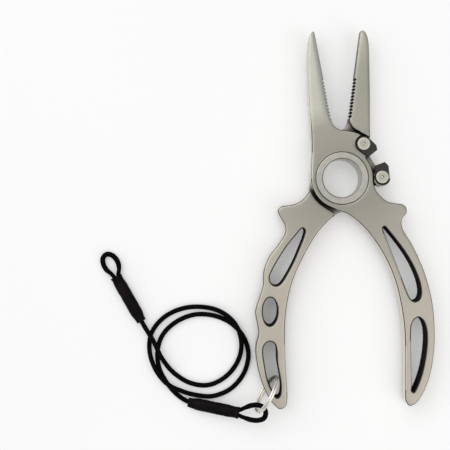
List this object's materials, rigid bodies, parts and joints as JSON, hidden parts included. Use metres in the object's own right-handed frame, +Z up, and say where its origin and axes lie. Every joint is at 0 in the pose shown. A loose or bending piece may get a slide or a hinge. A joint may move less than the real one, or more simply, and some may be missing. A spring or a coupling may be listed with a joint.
{
  "type": "fishing pliers",
  "caption": "Hollow-pivot fishing pliers with slotted handles, tapered toothed jaws, side cutters and a cord lanyard on a split ring.",
  "frame": {"origin": "on the surface the pliers lie on, under the centre of the pliers' bounding box (lanyard left out); the pivot axis is 21.0 mm from it along +Y and 0.4 mm along +X", "axes": "+Y from the handles to the jaw tips, +Z up through the front faces along the pivot axis, +X to the side with the cutters"},
  "size_m": [0.1655, 0.1936, 0.0209],
  "materials": {
    "titanium": "fine bead-blasted warm grey titanium, lighter on the rounded edges",
    "titanium_polished": "turned titanium with fine concentric tool marks",
    "bronze": "plain turned bearing bronze",
    "washer_polymer": "smooth unfilled polymer",
    "bright_steel": "bright stainless steel, lightly scratched",
    "carbide": "matte black coated carbide, ground bright at the cutting edge",
    "cord": "smooth black braided cord",
    "sleeve_rubber": "shrunk black tubing, slightly wrinkled",
    "ferrule_aluminium": "plain crimped aluminium"
  },
  "bodies": {
    "rear_side": {"rear_lever": "titanium", "pivot_sleeve": "titanium_polished", "pivot_ring_nut": "titanium_polished", "pivot_bushing": "bronze", "front_thrust_washer": "washer_polymer", "centre_thrust_washer": "washer_polymer", "rear_thrust_washer": "washer_polymer", "return_spring": "bright_steel", "lower_cutter": "carbide", "lower_cutter_screw": "bright_steel", "split_ring": "bright_steel", "lanyard_eye": "cord", "lanyard_sleeve": "sleeve_rubber", "lanyard_ferrule": "ferrule_aluminium", "lanyard_cord": "cord", "far_lanyard_sleeve": "sleeve_rubber", "far_lanyard_ferrule": "ferrule_aluminium", "far_lanyard_eye": "cord"},
    "front_side": {"front_lever": "titanium", "upper_cutter": "carbide", "upper_cutter_screw": "bright_steel"}
  },
  "joints": [
    {"name": "handle_squeeze", "type": "hinge", "parent": "rear_side", "child": "front_side", "pos_m": [0.00043, 0.02098, 0.00735], "axis": [0, 0, 1], "range_deg": [-17.4, 0], "stiffness_Nm_per_rad": 0.3, "springref_deg": 20.05}
  ]
}
